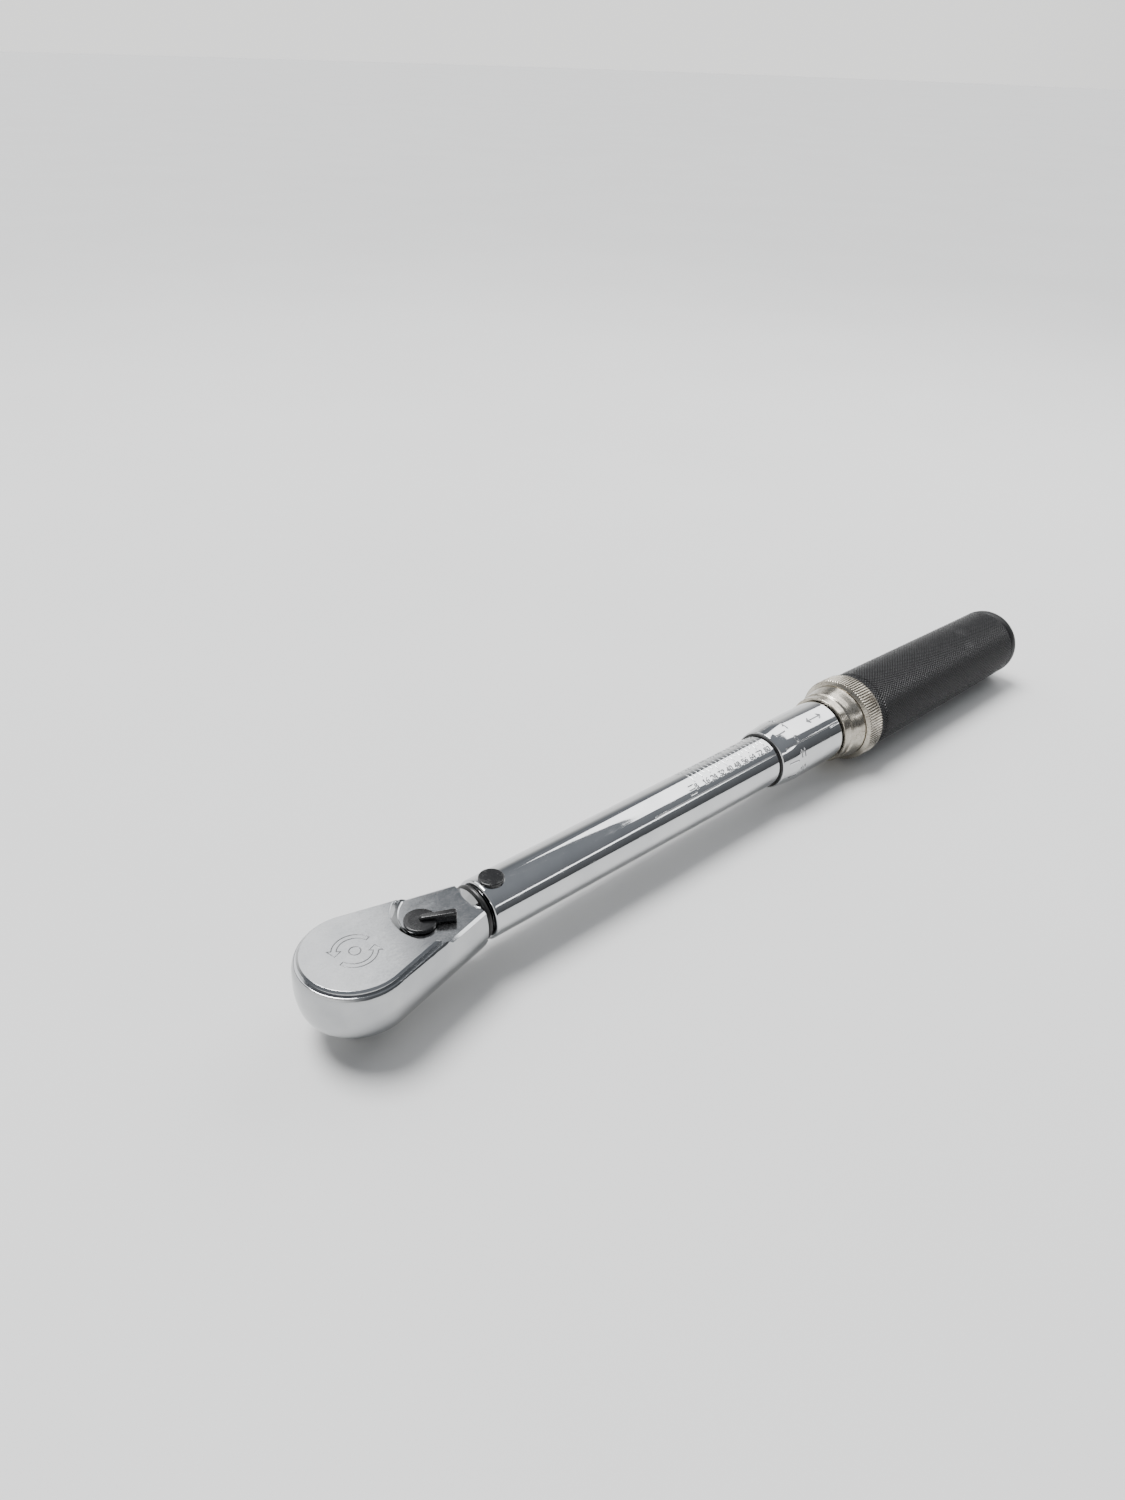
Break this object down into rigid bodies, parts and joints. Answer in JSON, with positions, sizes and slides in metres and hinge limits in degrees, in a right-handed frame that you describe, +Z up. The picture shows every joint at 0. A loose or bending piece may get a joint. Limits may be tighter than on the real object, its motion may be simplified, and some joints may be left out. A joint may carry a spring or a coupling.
{
  "type": "torque wrench",
  "caption": "Click-type torque wrench with a teardrop ratchet head, square drive, reversing lever, scaled chrome tube and knurled grip.",
  "frame": {"origin": "centre of the square drive's end face, on the drive axis", "axes": "+X along the wrench from the head to the grip, +Z up, out of the lever side of the head, so the drive points down"},
  "size_m": [0.3455, 0.0344, 0.0351],
  "materials": {
    "chrome": "polished",
    "satin_nickel": "satin, knurled",
    "steel": "ground",
    "spring_steel": "drawn wire",
    "black_oxide": "matte black, knurled",
    "black_plastic": "fine matte",
    "black_rubber": "smooth"
  },
  "bodies": {
    "tube_body": {"tube": "chrome", "pivot_pin": "steel", "pin_caps": "black_plastic", "adjusting_nut": "steel", "nut_pins": "steel"},
    "head_body": {"head": "chrome", "neck_seal": "black_rubber", "cover_plate": "steel", "cover_screws": "black_oxide", "pawl_pin": "steel"},
    "drive": {"drive_gear": "steel", "detent_spring": "spring_steel"},
    "ball": {"detent_ball": "steel"},
    "pawl_body": {"pawl": "steel"},
    "lever": {"reversing_lever": "black_plastic", "lever_clip": "spring_steel", "lever_spring": "spring_steel"},
    "lever_pin": {"lever_plunger": "steel"},
    "block": {"tilt_block": "steel"},
    "plunger": {"spring_plunger": "steel", "main_spring": "spring_steel"},
    "seat": {"spring_seat": "steel", "thrust_ball": "steel"},
    "handle": {"adjusting_screw": "steel", "thimble": "chrome", "thimble_seal": "black_rubber", "lock_balls": "steel", "grip": "black_oxide", "end_cap": "black_plastic", "handle_screw": "steel", "lock_spring": "spring_steel"},
    "lock": {"lock_ring": "satin_nickel"}
  },
  "joints": [
    {"name": "head_pivot", "type": "hinge", "parent": "tube_body", "child": "head_body", "pos_m": [0.0464, 0, 0.019], "axis": [0, 0, 1], "range_deg": [0, 2], "stiffness_Nm_per_rad": 20, "springref_deg": -2.86},
    {"name": "block_tilt", "type": "hinge", "parent": "tube_body", "child": "block", "pos_m": [0.10636, -0.00206, 0.019], "axis": [0, 0, 1], "range_deg": [-15.87, 0]},
    {"name": "plunger_slide", "type": "slide", "parent": "tube_body", "child": "plunger", "axis": [1, 0, 0], "range_m": [0, 0.0016], "deforming": ["main_spring"]},
    {"name": "drive_spin", "type": "hinge", "parent": "head_body", "child": "drive", "pos_m": [0, 0, 0.019], "axis": [0, 0, 1], "continuous": true},
    {"name": "detent_press", "type": "slide", "parent": "drive", "child": "ball", "axis": [0, 1, 0], "range_m": [0, 0.0005], "stiffness_N_per_m": 800, "springref_m": -0.0005, "deforming": ["detent_spring"]},
    {"name": "lever_turn", "type": "hinge", "parent": "head_body", "child": "lever", "pos_m": [0.0212, 0, 0.019], "axis": [0, 0, 1], "range_deg": [0, 56]},
    {"name": "pawl_rock", "type": "hinge", "parent": "head_body", "child": "pawl_body", "pos_m": [0.0142, 0, 0.019], "axis": [0, 0, 1], "range_deg": [-10, 0]},
    {"name": "lever_pin_press", "type": "slide", "parent": "lever", "child": "lever_pin", "axis": [0.8829, -0.4695, 0], "range_m": [0, 0.0005], "stiffness_N_per_m": 300, "springref_m": -0.0005, "deforming": ["lever_spring"]},
    {"name": "handle_travel", "type": "slide", "parent": "tube_body", "child": "seat", "axis": [1, 0, 0], "range_m": [-0.0375, 0], "deforming": ["main_spring"]},
    {"name": "handle_turn", "type": "hinge", "parent": "seat", "child": "handle", "pos_m": [0.2, 0, 0.019], "axis": [1, 0, 0], "range_deg": [-5400, 0]},
    {"name": "lock_pull", "type": "slide", "parent": "handle", "child": "lock", "axis": [1, 0, 0], "range_m": [0, 0.0035], "stiffness_N_per_m": 600, "springref_m": -0.002, "deforming": ["lock_spring"]}
  ],
  "couplings": [
    {"joint": "block_tilt", "follows": "head_pivot", "ratio": -7.935},
    {"joint": "plunger_slide", "follows": "head_pivot", "m_per_rad": 0.045836},
    {"joint": "pawl_rock", "follows": "lever_turn", "ratio": -0.17857},
    {"joint": "handle_travel", "follows": "handle_turn", "m_per_rad": 0.00039789}
  ]
}
